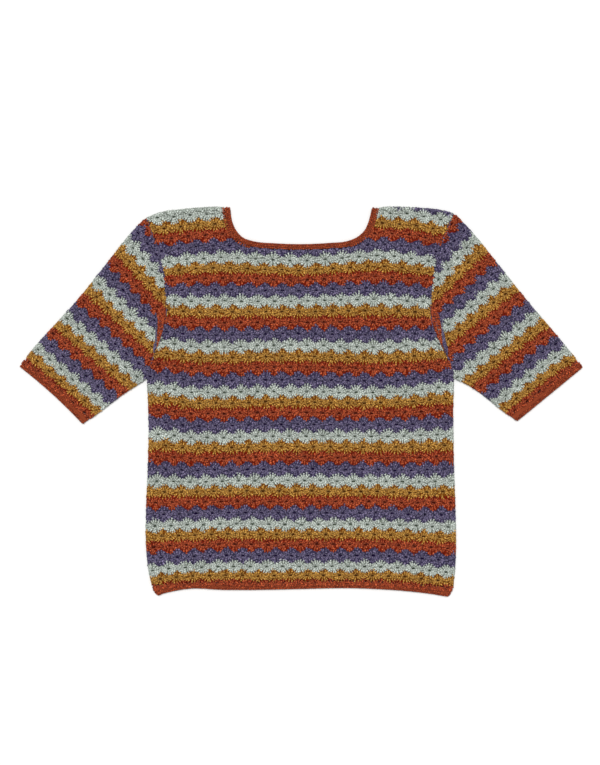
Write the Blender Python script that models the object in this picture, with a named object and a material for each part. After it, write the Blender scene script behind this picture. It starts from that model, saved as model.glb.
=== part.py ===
"""A short-sleeved crochet top laid flat with its front up.

The back panel lies on the surface and the front lies on it. The sleeves, cuffs, hem band
and neck edging are tubes pressed flat: a lower and an upper layer, joined by a round fold
at each side and open at both ends. X runs across the chest, Y up to the neck and Z up
from the surface. Left and right are the wearer's, so left is towards +X. Sizes are in
millimetres until a mesh is made.
"""

import math

import bmesh
import bpy
import numpy as np
from mathutils import Vector, geometry

MM = 0.001

WALL = 2.8  # thickness of one layer of the crochet
LAYER_GAP = 0.3  # between the lower layer and the upper
SEAM_GAP = 0.35  # between two pieces that are sewn together
STACK = 2 * WALL + LAYER_GAP

NECK_EDGING = 9.0
CUFF_BAND = 13.0
CUFF_BOW = {"right": 2.7, "left": -0.1}  # how far the middle of a cuff sinks inwards

FOLD_ROUND = 2.5  # edge radius of a panel along the sides and shoulders
SEAM_ROUND = 0.9  # edge radius of a panel where another piece is sewn on
EDGE_MIDDLE = 0.3  # where the middle ring of a rounded edge lies, as a share of its radius
EDGE_LEAST = 0.2  # least thickness at a panel's rim
FOLD_ANGLES = (-90.0, -54.0, -18.0, 18.0, 54.0, 90.0)  # facets of a tube's round fold
SHARP_ANGLE = 50.0  # edges that turn by more than this stay crisp
ROUGHNESS = 0.9  # of matt cotton

EDGE_STEP = 15.0  # length of one facet along a panel's edge
FRONT_SPACING = 25.0  # between the points inside the front, which has soft waves
BACK_SPACING = 70.0  # between the points inside the flat back
EDGE_CLEARANCE = 0.45  # least distance from an inner point to the edge, in spacings
LEAST_BEND = 0.6  # limits how far a sharp corner moves when an outline is shifted
SAME_POINT = 1e-6  # plan points closer than this are one point

# Side seams and armholes: height, wearer's right edge, wearer's left edge
SIDES = np.array([
    (-278.0, -222.6, 227.5),
    (-250.0, -229.0, 231.0),
    (-216.0, -232.2, 232.3),
    (-163.0, -232.1, 231.3),
    (-103.0, -229.7, 229.3),
    (-43.0, -228.2, 228.2),
    (2.0, -229.3, 228.1),
    (34.0, -230.8, 229.4),
])
ARMHOLES = np.array([
    (34.0, -230.8, 229.4),
    (67.0, -221.6, 220.0),
    (90.0, -211.9, 207.0),
    (119.0, -204.0, 196.5),
    (148.0, -201.6, 194.8),
    (171.0, -203.8, 197.3),
    (196.0, -206.4, 200.0),
    (217.0, -210.4, 203.0),
    (246.0, -221.4, 214.5),
    (283.0, -234.5, 229.0),
])
SHOULDER_POINT = {"right": 275.5, "left": 282.2}

# Shoulder lines: distance out from the centre, height at the right, height at the left
SHOULDERS = np.array([
    (112.0, 292.2, 291.8),
    (134.0, 291.7, 291.9),
    (158.0, 290.2, 291.5),
    (182.0, 287.8, 290.1),
    (206.0, 284.9, 287.8),
    (230.0, 276.6, 282.2),
])

# Inner edge of the neck from the right shoulder round to the left: across, height
NECK = np.array([
    (-106.3, 292.2),
    (-102.4, 267.6),
    (-96.8, 256.0),
    (-87.4, 245.9),
    (-72.1, 240.5),
    (-38.0, 237.1),
    (0.0, 235.9),
    (42.0, 237.7),
    (70.2, 240.7),
    (85.5, 247.3),
    (96.2, 258.0),
    (100.8, 268.6),
    (106.6, 291.8),
])

NECK_SHARES = np.linspace(0, 1, 41)  # where the neck's points lie, in shares of its length

# Lower edge of the hem band from the right to the left: across, height
HEM = np.array([
    (-220.6, -285.4),
    (-213.8, -290.8),
    (-205.0, -287.2),
    (-194.3, -284.8),
    (-168.0, -280.4),
    (-120.0, -282.1),
    (-40.0, -281.8),
    (30.0, -280.1),
    (60.0, -279.5),
    (110.0, -280.8),
    (150.0, -283.4),
    (190.0, -287.6),
    (208.0, -290.3),
    (220.2, -292.3),
    (224.6, -288.6),
])

# Seam between the panels and the hem band: across, height
HEM_SEAM = np.array([
    (-223.6, -275.3),
    (-190.0, -273.6),
    (-160.0, -271.4),
    (-100.0, -271.4),
    (-40.0, -271.2),
    (30.0, -269.6),
    (60.0, -269.0),
    (110.0, -270.2),
    (150.0, -272.6),
    (190.0, -276.2),
    (228.2, -279.2),
])

# Sleeve edges, from the body out to the cuff: across, height
UPPER_EDGE = {
    "right": [(-243.2, 267.3), (-253.9, 254.4), (-337.0, 150.2), (-409.1, 70.1), (-422.3, 52.7)],
    "left": [(239.5, 273.9), (249.4, 262.6), (333.0, 158.7), (407.3, 70.6), (422.7, 51.5)],
}
LOWER_EDGE = {
    "right": [(-243.0, 25.9), (-267.0, 10.2), (-303.0, -17.0), (-326.7, -34.5)],
    "left": [(240.9, 29.5), (262.7, 16.6), (298.7, -11.7), (323.1, -30.2)],
}

# Where a sleeve's points lie between its rounded ends, as shares of its length
SLEEVE_SHARES = (0.02, *np.linspace(0.13, 0.87, 7), 0.98)
BAND_EDGE = 0.15  # share of the width of the hem band and the cuffs that rounds off
NECK_EDGE = 0.2  # the same of the neck edging

# Soft waves of the upper layer: across, height, direction in degrees, half length,
# half width, rise
WAVES = np.array([
    (176.0, 20.0, 58.0, 58.0, 17.0, 1.5),
    (-180.0, 26.0, 118.0, 64.0, 15.0, 1.7),
    (-70.0, -70.0, 8.0, 120.0, 26.0, 0.9),
    (95.0, -150.0, -6.0, 95.0, 22.0, 1.1),
    (-150.0, -236.0, 74.0, 40.0, 15.0, 1.3),
    (172.0, -232.0, 108.0, 46.0, 17.0, 1.2),
    (-158.0, 232.0, 22.0, 42.0, 14.0, 0.9),
    (152.0, 238.0, 160.0, 38.0, 15.0, 1.0),
    (312.0, 96.0, -52.0, 62.0, 17.0, 1.4),
    (-322.0, 88.0, 229.0, 66.0, 16.0, 1.2),
    (-262.0, 176.0, 236.0, 44.0, 13.0, 0.8),
])

YARNS = {
    "striped_crochet": (0.40, 0.24, 0.17),
    "rust_crochet": (0.36, 0.08, 0.03),
}

for old in list(bpy.data.objects):
    bpy.data.objects.remove(old)


def through(stops, values, at):
    """Point or value at `at` on a smooth curve through the values at the stops."""
    slopes = np.gradient(values, stops, axis=0)
    at = np.asarray(at, float)
    low = np.clip(np.searchsorted(stops, at) - 1, 0, len(stops) - 2)
    span = stops[low + 1] - stops[low]
    t = (at - stops[low]) / span
    if np.ndim(values) > 1:
        t, span = t[..., None], span[..., None]
    start = (1 + 2 * t) * (1 - t) ** 2 * values[low] + t * (1 - t) ** 2 * span * slopes[low]
    end = t * t * (3 - 2 * t) * values[low + 1] + t * t * (t - 1) * span * slopes[low + 1]
    return start + end


def along(points, fractions):
    """Points at these fractions of the length of a smooth curve through the points."""
    steps = np.linalg.norm(np.diff(points, axis=0), axis=1)
    stops = np.concatenate([[0.0], np.cumsum(steps)])
    return through(stops, points, np.asarray(fractions) * stops[-1])


def shifted(path, distance, closed=False):
    """The path moved to its left by a distance, which may differ from point to point."""
    if closed:
        before, after = np.roll(path, 1, axis=0), np.roll(path, -1, axis=0)
    else:
        before = np.vstack([2 * path[0] - path[1], path[:-1]])
        after = np.vstack([path[1:], 2 * path[-1] - path[-2]])
    first = (path - before) / np.linalg.norm(path - before, axis=1)[:, None]
    second = (after - path) / np.linalg.norm(after - path, axis=1)[:, None]
    left = np.column_stack([-first[:, 1] - second[:, 1], first[:, 0] + second[:, 0]])
    bend = 1 + (first * second).sum(axis=1)
    return path + left * (distance / np.maximum(bend, LEAST_BEND))[:, None]


def wave(plan):
    """Rise of the upper layer at these points, from the soft waves."""
    rise = np.zeros(len(plan))
    for across, height, degrees, half_length, half_width, most in WAVES:
        turn = math.radians(degrees)
        away = plan - (across, height)
        lengthwise = away @ (math.cos(turn), math.sin(turn)) / half_length
        crosswise = away @ (-math.sin(turn), math.cos(turn)) / half_width
        rise += most * np.exp(-lengthwise ** 2 - crosswise ** 2)
    return rise


def side_x(side, heights):
    """The side seam's distance across at these heights, on the wearer's right or left."""
    column = 1 if side == "right" else 2
    return through(SIDES[:, 0], SIDES[:, column], heights)


def armhole(side, heights, inwards):
    """Points of the armhole seam at these heights, moved towards the centre."""
    column = 1 if side == "right" else 2
    across = through(ARMHOLES[:, 0], ARMHOLES[:, column], heights)
    outwards = -1 if side == "right" else 1
    return np.column_stack([across - outwards * inwards, heights])


def shares(length):
    """Fractions from 0 to 1, about one edge step apart on an edge of this length."""
    return np.linspace(0, 1, max(2, round(abs(length) / EDGE_STEP) + 1))


def steps(start, end):
    """Evenly spaced values from start to end, about one edge step apart."""
    return start + shares(end - start) * (end - start)


def panel_outline():
    """Outline of the front and the back, anticlockwise from the hem's right corner, and
    the radius of the edge at each of its points."""
    across = steps(HEM_SEAM[0, 0], HEM_SEAM[-1, 0])
    hem = np.column_stack([across, through(HEM_SEAM[:, 0], HEM_SEAM[:, 1], across)])
    hem[:, 1] += SEAM_GAP
    neck = shifted(along(NECK, NECK_SHARES), -NECK_EDGING - SEAM_GAP)[::-1]
    out = steps(SHOULDERS[-1, 0], SHOULDERS[0, 0])[1:-1]
    underarm = ARMHOLES[0, 0]
    side, scye, shoulder = {}, {}, {}
    for wearers, hem_end, column in (("right", hem[0, 1], 1), ("left", hem[-1, 1], 2)):
        up = steps(hem_end, underarm)[1:-1]
        side[wearers] = np.column_stack([side_x(wearers, up), up])
        scye[wearers] = armhole(wearers, steps(underarm, SHOULDER_POINT[wearers]), SEAM_GAP)
        top = through(SHOULDERS[:, 0], SHOULDERS[:, column], out)
        shoulder[wearers] = np.column_stack([out if wearers == "left" else -out, top])
    runs = [
        (hem, SEAM_ROUND),
        (side["left"], FOLD_ROUND),
        (scye["left"], SEAM_ROUND),
        (shoulder["left"], FOLD_ROUND),
        (neck, SEAM_ROUND),
        (shoulder["right"][::-1], FOLD_ROUND),
        (scye["right"][::-1], SEAM_ROUND),
        (side["right"][::-1], FOLD_ROUND),
    ]
    outline = np.vstack([points for points, _ in runs])
    radius = np.concatenate([np.full(len(points), edge) for points, edge in runs])
    return outline, radius


def inside(points, outline):
    """Which points lie inside the outline."""
    start, end = outline, np.roll(outline, -1, axis=0)
    x, y = points[:, :1], points[:, 1:]
    spans = (start[:, 1] > y) != (end[:, 1] > y)
    rise = np.where(end[:, 1] == start[:, 1], 1.0, end[:, 1] - start[:, 1])
    crossing = start[:, 0] + (y - start[:, 1]) * (end[:, 0] - start[:, 0]) / rise
    return (spans & (x < crossing)).sum(axis=1) % 2 == 1


def inner_points(outline, spacing):
    """Points of an even three-way grid inside the outline and clear of it."""
    rows = []
    low, high = outline.min(axis=0), outline.max(axis=0)
    for number, y in enumerate(np.arange(low[1], high[1], spacing * math.sqrt(0.75))):
        x = np.arange(low[0] + number % 2 * spacing / 2, high[0], spacing)
        rows.append(np.column_stack([x, np.full(len(x), y)]))
    grid = np.vstack(rows)
    grid = grid[inside(grid, outline)]
    near = np.linalg.norm(grid[:, None] - outline[None], axis=2).min(axis=1)
    return grid[near > spacing * EDGE_CLEARANCE]


def new_object(name, vertices, faces, yarn):
    """A mesh object of this yarn, from points in millimetres."""
    mesh = bpy.data.meshes.new(name)
    mesh.from_pydata((np.asarray(vertices) * MM).tolist(), [], faces)
    work = bmesh.new()
    work.from_mesh(mesh)
    bmesh.ops.recalc_face_normals(work, faces=work.faces)
    work.to_mesh(mesh)
    work.free()
    mesh.shade_smooth()
    mesh.set_sharp_from_angle(angle=math.radians(SHARP_ANGLE))
    mesh.materials.append(material(yarn))
    obj = bpy.data.objects.new(name, mesh)
    bpy.context.scene.collection.objects.link(obj)
    return obj


def material(yarn):
    """Matt cotton in the yarn's colour."""
    made = bpy.data.materials.get(yarn)
    if made is None:
        made = bpy.data.materials.new(yarn)
        made.use_nodes = True
        surface = made.node_tree.nodes["Principled BSDF"]
        surface.inputs["Base Color"].default_value = (*YARNS[yarn], 1)
        surface.inputs["Roughness"].default_value = ROUGHNESS
        surface.inputs["Metallic"].default_value = 0
    return made


def panel(name, upper, spacing):
    """One flat panel of the body: a wall with a flat inner face, whose outer face rounds
    off towards each edge. The upper panel rises with the soft waves."""
    outline, radius = panel_outline()
    halfway = shifted(outline, radius * EDGE_MIDDLE, closed=True)
    full = shifted(outline, radius, closed=True)
    plan = np.vstack([outline, halfway, full, inner_points(full, spacing)])
    count = len(outline)
    rings = [
        (first + ring * count, (first + 1) % count + ring * count)
        for ring in range(3)
        for first in range(count)
    ]
    flat = [Vector(point) for point in plan]
    points, _, triangles, *_ = geometry.delaunay_2d_cdt(flat, rings, [], 1, SAME_POINT)
    if len(points) != len(plan):
        raise ValueError(name + ": two edges of the outline cross")
    thickness = np.full(len(plan), WALL)
    thickness[:count] = np.maximum(WALL - radius, EDGE_LEAST)
    round_off = math.sqrt(1 - (1 - EDGE_MIDDLE) ** 2)
    thickness[count : 2 * count] = WALL - radius + radius * round_off
    lift = wave(plan) if upper else 0.0
    inner = np.full(len(plan), WALL + LAYER_GAP if upper else WALL) + lift
    outer = inner + thickness if upper else inner - thickness
    vertices = np.vstack([np.column_stack([plan, inner]), np.column_stack([plan, outer])])
    size = len(plan)
    faces = [tuple(corners) for corners in triangles]
    faces += [tuple(corner + size for corner in corners[::-1]) for corners in triangles]
    for first in range(count):
        second = (first + 1) % count
        faces.append((first, second, second + size, first + size))
    return new_object(name, vertices, faces, "striped_crochet")


def flat_tube(name, place, stations, across, yarn):
    """A tube pressed flat: `place` gives the plan point for a fraction along the tube and
    one across it. `stations` lists fractions along, each with how far the outer face
    sinks there, and `across` lists fractions across, whose first and last are the folds."""
    middle = STACK / 2
    fold = np.radians(FOLD_ANGLES)
    outer, inner = [], []
    for fraction, sink in stations:
        edge = place(fraction, np.array([0.0, 1.0]))
        width = np.linalg.norm(edge[1] - edge[0])
        for loop, radius in ((outer, middle - sink), (inner, LAYER_GAP / 2)):
            inset = (middle - radius * np.cos(fold)) / width
            turned = radius * np.sin(fold)
            flat = across[1:-1]
            v = np.concatenate([flat, 1 - inset, flat[::-1], inset[::-1]])
            low = np.full(len(flat), -radius)
            z = np.concatenate([low, turned, -low, turned[::-1]])
            plan = place(fraction, v)
            lift = wave(plan) * np.clip(z / radius, 0, 1)
            loop.append(np.column_stack([plan, z + middle + lift]))
    count, last = len(outer[0]), len(outer) - 1
    vertices = np.vstack(outer + inner)
    faces = []
    for first in range(count):
        second = (first + 1) % count
        for station in range(last):
            a, b = station * count, (station + 1) * count
            faces.append((a + first, a + second, b + second, b + first))
            a, b = a + len(outer) * count, b + len(outer) * count
            faces.append((a + second, a + first, b + first, b + second))
        for station in (0, last):
            a, b = station * count, (station + len(outer)) * count
            faces.append((a + first, a + second, b + second, b + first))
    return new_object(name, vertices, faces, yarn)


def band_stations(edge_share):
    """Stations along a narrow band, whose two edges are rounded a little."""
    return [(0.0, SEAM_ROUND), (edge_share, 0.0), (1 - edge_share, 0.0), (1.0, SEAM_ROUND)]


def sleeve_plan(side):
    """Two functions: the plan point for a fraction of the way from the armhole to the
    cuff's edge and one from the upper edge to the lower, and the length at the latter."""
    outwards = -1 if side == "right" else 1
    shoulder, underarm = SHOULDER_POINT[side], ARMHOLES[0, 0]

    def scye(v):
        return armhole(side, shoulder + v * (underarm - shoulder), 0)

    corners = scye(np.array([0.0, 1.0]))
    upper = np.vstack([corners[0], UPPER_EDGE[side]])
    lower = np.vstack([corners[1], LOWER_EDGE[side]])

    def cuff(v):
        straight = upper[-1] + v[:, None] * (lower[-1] - upper[-1])
        chord = lower[-1] - upper[-1]
        inward = np.array([-chord[1], chord[0]]) * -outwards / np.linalg.norm(chord)
        return straight + inward * (CUFF_BOW[side] * 4 * v * (1 - v))[:, None]

    def place(u, v):
        v = np.asarray(v, float)
        u = np.broadcast_to(np.asarray(u, float), v.shape)
        across = (1 - u)[:, None] * scye(v) + u[:, None] * cuff(v)
        top, bottom = along(upper, u), along(lower, u)
        lengthwise = (1 - v)[:, None] * top + v[:, None] * bottom
        square = ((1 - u) * (1 - v))[:, None] * upper[0] + ((1 - u) * v)[:, None] * lower[0]
        square += (u * (1 - v))[:, None] * upper[-1] + (u * v)[:, None] * lower[-1]
        return across + lengthwise - square

    def length(v):
        return np.linalg.norm(cuff(v) - scye(v), axis=1)

    return place, length


def sleeve(side):
    """The sleeve and its cuff band."""
    place, length = sleeve_plan(side)

    def body(u, v):
        v = np.asarray(v, float)
        start = SEAM_GAP / length(v)
        end = 1 - (CUFF_BAND + SEAM_GAP) / length(v)
        return place(start + u * (end - start), v)

    def band(u, v):
        v = np.asarray(v, float)
        start = 1 - CUFF_BAND / length(v)
        return place(start + u * (1 - start), v)

    across = shares(SHOULDER_POINT[side] - ARMHOLES[0, 0])
    stations = [(0.0, SEAM_ROUND), *((share, 0.0) for share in SLEEVE_SHARES), (1.0, SEAM_ROUND)]
    flat_tube("sleeve_" + side, body, stations, across, "striped_crochet")
    flat_tube("cuff_" + side, band, band_stations(BAND_EDGE), across, "rust_crochet")


def hem_band():
    """The band round the hem, hanging from the panels' lower edge."""

    def place(u, v):
        v = np.asarray(v, float)
        seam = HEM_SEAM[0, 0] + v * (HEM_SEAM[-1, 0] - HEM_SEAM[0, 0])
        top = np.column_stack([seam, through(HEM_SEAM[:, 0], HEM_SEAM[:, 1], seam)])
        low = HEM[0, 0] + v * (HEM[-1, 0] - HEM[0, 0])
        edge = np.column_stack([low, through(HEM[:, 0], HEM[:, 1], low)])
        return (1 - u) * top + u * edge

    corners = (HEM[[1, -2], 0] - HEM[0, 0]) / (HEM[-1, 0] - HEM[0, 0])
    across = np.sort(np.append(shares(HEM_SEAM[-1, 0] - HEM_SEAM[0, 0]), corners))
    flat_tube("hem_band", place, band_stations(BAND_EDGE), across, "rust_crochet")


def neck_edging():
    """The edging round the front and back neckline, folded at the shoulders."""

    inner = along(NECK, NECK_SHARES)
    outer = shifted(inner, -NECK_EDGING)

    def place(u, v):
        ring = (1 - u) * outer + u * inner
        return np.column_stack([np.interp(v, NECK_SHARES, ring[:, axis]) for axis in (0, 1)])

    flat_tube("neck_edging", place, band_stations(NECK_EDGE), NECK_SHARES, "rust_crochet")


panel("back", upper=False, spacing=BACK_SPACING)
panel("front", upper=True, spacing=FRONT_SPACING)
for side in ("right", "left"):
    sleeve(side)
hem_band()
neck_edging()
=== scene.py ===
import itertools
import math

import bmesh
import bpy
import numpy as np
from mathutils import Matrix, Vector
from mathutils.bvhtree import BVHTree


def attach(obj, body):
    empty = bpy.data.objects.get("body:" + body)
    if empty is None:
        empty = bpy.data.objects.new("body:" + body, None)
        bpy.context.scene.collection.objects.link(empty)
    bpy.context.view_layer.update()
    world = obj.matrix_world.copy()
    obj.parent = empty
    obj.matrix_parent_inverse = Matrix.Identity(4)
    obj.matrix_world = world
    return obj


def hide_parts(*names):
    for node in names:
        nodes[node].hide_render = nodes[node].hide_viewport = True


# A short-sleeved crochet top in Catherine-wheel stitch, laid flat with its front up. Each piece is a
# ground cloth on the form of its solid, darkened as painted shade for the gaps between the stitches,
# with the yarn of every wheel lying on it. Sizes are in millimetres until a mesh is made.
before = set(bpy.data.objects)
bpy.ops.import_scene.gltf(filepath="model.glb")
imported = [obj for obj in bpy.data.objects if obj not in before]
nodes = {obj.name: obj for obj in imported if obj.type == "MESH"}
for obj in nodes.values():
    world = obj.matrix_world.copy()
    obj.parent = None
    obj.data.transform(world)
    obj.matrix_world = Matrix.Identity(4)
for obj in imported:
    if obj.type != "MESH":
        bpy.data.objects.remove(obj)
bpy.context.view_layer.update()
scene = bpy.context.scene


# Camera, floor and light. The top lies on a plain matt white table, seen from straight
# above, under an even studio sky and one wide soft lamp beyond the neck.
MM = 0.001
VIEW_CENTRE = (-1.5, 28.5)
CAMERA_HEIGHT = 3000.0
FRAME_HEIGHT = 1147.5
SENSOR = 36.0
FLOOR_RADIUS = 7.0
SKY = 0.58
LAMP_DIRECTION = (-0.06, 0.28, 1.0)
LAMP_SPREAD = 22.0
LAMP_POWER = 2.5
WAVES_PER_METRE = 40.0  # that a roller leaves in the table's paint


def linear(code):
    """The linear colour of an sRGB code such as #C9A45B."""
    channels = [int(code[place : place + 2], 16) / 255 for place in (1, 3, 5)]
    return (*(c / 12.92 if c <= 0.04045 else ((c + 0.055) / 1.055) ** 2.4 for c in channels), 1.0)


def add(tree, kind, settings, inputs):
    """A new shader node with these settings. Each input takes a constant, another node's
    output, or a node, which stands for its first output."""
    node = tree.nodes.new("ShaderNode" + kind)
    for name, value in settings.items():
        setattr(node, name, value)
    for socket, value in inputs.items():
        if isinstance(value, bpy.types.Node):
            value = value.outputs[0]
        if isinstance(value, bpy.types.NodeSocket):
            tree.links.new(value, node.inputs[socket])
        else:
            node.inputs[socket].default_value = value
    return node


def new_material(name):
    """An empty node material and its tree."""
    made = bpy.data.materials.new(name)
    made.use_nodes = True
    made.node_tree.nodes.clear()
    return made, made.node_tree


def finish_material(tree, finish):
    """Ends a material with a principled surface of this finish."""
    surface = add(tree, "BsdfPrincipled", {}, finish)
    add(tree, "OutputMaterial", {}, {"Surface": surface})


camera_data = bpy.data.cameras.new("camera")
camera_data.sensor_fit = "VERTICAL"
camera_data.sensor_height = SENSOR
camera_data.lens = SENSOR * CAMERA_HEIGHT / FRAME_HEIGHT
camera = bpy.data.objects.new("camera", camera_data)
camera.location = (VIEW_CENTRE[0] * MM, VIEW_CENTRE[1] * MM, CAMERA_HEIGHT * MM)
scene.collection.objects.link(camera)
scene.camera = camera
scene.view_settings.view_transform = "Standard"

painted_table, tree = new_material("table_matt_white_paint")
grain = add(tree, "TexNoise", {}, {"Scale": WAVES_PER_METRE, "Detail": 4.0})
tone = add(
    tree, "Mix", {"data_type": "RGBA"}, {0: grain, 6: linear("#E6E6E5"), 7: linear("#E9E9E8")}
)
finish_material(tree, {"Base Color": tone.outputs[2], "Roughness": 0.9, "Specular IOR Level": 0.1})
work = bmesh.new()
bmesh.ops.create_circle(work, cap_ends=True, radius=FLOOR_RADIUS, segments=96)
floor_mesh = bpy.data.meshes.new("floor")
work.to_mesh(floor_mesh)
work.free()
floor_mesh.materials.append(painted_table)
floor = bpy.data.objects.new("floor", floor_mesh)
scene.collection.objects.link(floor)

sky = bpy.data.worlds.new("studio")
sky.use_nodes = True
background = sky.node_tree.nodes["Background"].inputs
background["Color"].default_value = (1.0, 1.0, 1.0, 1.0)
background["Strength"].default_value = SKY
scene.world = sky
lamp_data = bpy.data.lights.new("lamp", "SUN")
lamp_data.angle = math.radians(LAMP_SPREAD)
lamp_data.energy = LAMP_POWER
lamp = bpy.data.objects.new("lamp", lamp_data)
lamp.location = LAMP_DIRECTION
lamp.rotation_euler = Vector(LAMP_DIRECTION).to_track_quat("Z", "Y").to_euler()
scene.collection.objects.link(lamp)


# The cloth's lay-out. Rows of wheels run across the body and parallel to each cuff, in a
# repeat of four yarns: mint, mustard, rust and plum. Row v is mint where v divides by four,
# v grows towards the hem or the cuff, and the wheels of odd rows lie half a wheel along.
SHARES = np.array([0.0, 0.237, 0.474, 0.74, 1.0])  # where the rows of one repeat lie
YARNS = ("mint", "mustard", "rust", "plum")


def cloth(**measures):
    """Lay-out of one cloth. Its axes run along the rows and inward, from the hem or the cuff.
    The lines hold each mint row's distance inward at the stations along it, from row -4 on,
    `firsts` one wheel's place in each, and `pitches` the spacing of its wheels. `top` holds
    the first row up to a place along the cloth, that place and the first row after it."""
    return {name: np.array(value) for name, value in measures.items()}


def between_rows(v):
    """The mint row above row v, and how far v lies towards the next one."""
    above = np.floor(np.asarray(v, float) / 4)
    return above.astype(int) + 1, np.interp(v - 4 * above, np.arange(5), SHARES)


def eye_line(layout, v, along):
    """Distance inward of the eyes of row v, at these places along it."""
    above, share = between_rows(v)
    first = np.interp(along, layout["stations"], layout["lines"][above])
    return first + share * (np.interp(along, layout["stations"], layout["lines"][above + 1]) - first)


def rhythm(layout, above, share):
    """The place of one wheel and the pitch, at a share of the way to the next mint row."""
    return (
        layout[name][above] * (1 - share) + layout[name][above + 1] * share
        for name in ("firsts", "pitches")
    )


def stitch_place(layout, plan):
    """Wheels along and rows down, of plan points."""
    along, inward = ((plan - layout["origin"]) @ layout["axes"].T).T
    lines = np.array([np.interp(along, layout["stations"], line) for line in layout["lines"]])
    above = np.clip((lines >= inward).sum(axis=0) - 1, 0, len(lines) - 2)
    column = np.arange(len(plan))
    top, bottom = lines[above, column], lines[above + 1, column]
    share = (top - inward) / (top - bottom)
    v = 4 * (above - 1) + np.interp(share, SHARES, np.arange(5))
    before, step, after = layout["top"]
    v = np.maximum(v, np.where(along < step, before, after) - 0.1)
    first, pitch = rhythm(layout, above, share)
    return np.column_stack([(along - first) / pitch, v])


LONG_SHOULDER = 140  # from here on, one row more lies above the body's row 0
# Heights of the body's mint rows, and how far each bows down at the stations
BODY_HEIGHTS = np.array([349.5, 282.75, 216, 150.75, 81, 13.5, -54, -119.25, -183.75, -247.5, -303.75])
BODY_BOWS = np.array([
    (7.5, 7.5, 3.8, 0, 1.5, 4.5, 1.5, 0, 2.3, 10.5),
    (7.5, 7.5, 3.8, 0, 1.5, 4.5, 1.5, 0, 2.3, 10.5),
    (8.3, 8.3, 2.3, 0, 3, 6, 1.5, -3, 1.5, 9),
    (-1.5, -1.5, 0.8, 0, 0.8, 0.8, -1.5, -2.3, 0.8, 3),
    (-6.8, -6.8, -1.5, 0, -3, -3, -1.5, 0, -3, -5.3),
    (-6, -6, 0, 0, -1.5, -1.5, 0, 0, -1.5, -7.5),
    (-4.5, -4.5, 0, 0, -2.3, -2.3, -2.3, -1.5, -2.3, -4.5),
    (0, 0, 1.5, 0, -0.8, -1.5, 0, 0, 1.5, 0),
    (3, 2.3, 0.8, -0.8, 0, 0.8, 0, 0, 2.3, 3.8),
    (5.5, 3, 0.8, -0.8, 0, -0.8, -0.8, 0, 2.3, 7.5),
    (9, 3, 0.8, -0.8, 0, -0.8, -0.8, 0, 2.3, 7.5),
])
body_cloth = cloth(
    origin=(0, 0), axes=((1, 0), (0, 1)), top=(0, LONG_SHOULDER, -1),
    stations=(-222, -203, -166, -113, -58, -1, 59, 119, 164, 209),
    lines=BODY_HEIGHTS[:, None] - BODY_BOWS,
    firsts=(-65.9, -65.9, -68.0, -64.5, -65.3, -65.3, -66.6, -68.4, -72.4, -75.8, -78.0),
    pitches=(25.0, 24.95, 25.9, 24.8, 24.75, 24.65, 24.6, 24.5, 24.45, 24.4, 24.4),
)
sleeve_cloth = {
    "right": cloth(
        origin=(-420.75, 52.5), axes=((0.736, -0.678), (0.678, 0.736)), top=(-3, 0, -3),
        stations=(-12, 8, 30, 80, 140),
        lines=(
            (326.0, 321.0, 323.0, 317.0, 315.0),
            (246.5, 245.0, 242.5, 237.0, 235.0),
            (170.7, 170.6, 170.0, 169.3, 170.6),
            (99.8, 100.0, 101.2, 103.6, 108.0),
            (37.1, 37.2, 38.0, 39.6, 41.6),
            (-22.0, -21.2, -19.0, -14.5, -12.0),
        ),
        firsts=(6.0, 5.0, 3.2, 4.0, 2.6, 1.5),
        pitches=(21.0, 21.3, 22.0, 22.6, 22.95, 23.2),
    ),
    "left": cloth(
        origin=(420.75, 49.5), axes=((-0.780, -0.626), (-0.626, 0.780)), top=(-3, 0, -3),
        stations=(0, 30, 80, 140),
        lines=(
            (331.5, 327.6, 318.7, 318.0),
            (251.5, 247.6, 238.7, 238.0),
            (173.1, 176.2, 176.2, 176.2),
            (104.4, 104.9, 105.6, 106.4),
            (34.0, 39.3, 39.8, 39.8),
            (-24.0, -18.5, -15.5, -14.5),
        ),
        firsts=(-7.0, 0.2, 7.2, 14.0, 21.6, 29.2),
        pitches=(20.8, 21.0, 21.5, 23.25, 23.25, 23.25),
    ),
}


# Cotton yarns. Each strand is three twisted plies of matt heathered cotton, so its colour is flecked
# along the strand and varies from post to post; painted shade darkens it in the twist's grooves and
# under the loops that cross a post.
YARN_COLOURS = {
    "mint": ("#E0E8E0", "#B0BAAE"),
    "mustard": ("#EAB256", "#864E04"),
    "rust": ("#D8663C", "#6A1200"),
    "plum": ("#8E82A4", "#28284A"),
}
PLY_TURN = 2.4  # length of strand for one turn of its twist
WRAP_PITCH = 3.6  # between the loops that cross a treble post
PLIES = 3
FLECK_LENGTH = 3.2  # of one tone of the heathered yarn
HEATHER = (0.3, 0.7)  # the part of the flecks' noise in which the tone goes from dark to light
GROOVE_SHADE = 0.72  # painted shade in the twist's grooves
WRAP_SHADE = 0.5  # painted shadow under the loops that cross a post
FIBRES_PER_METRE = 2600.0  # far coarser than cotton's own fibres, so that the fuzz shows


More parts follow.
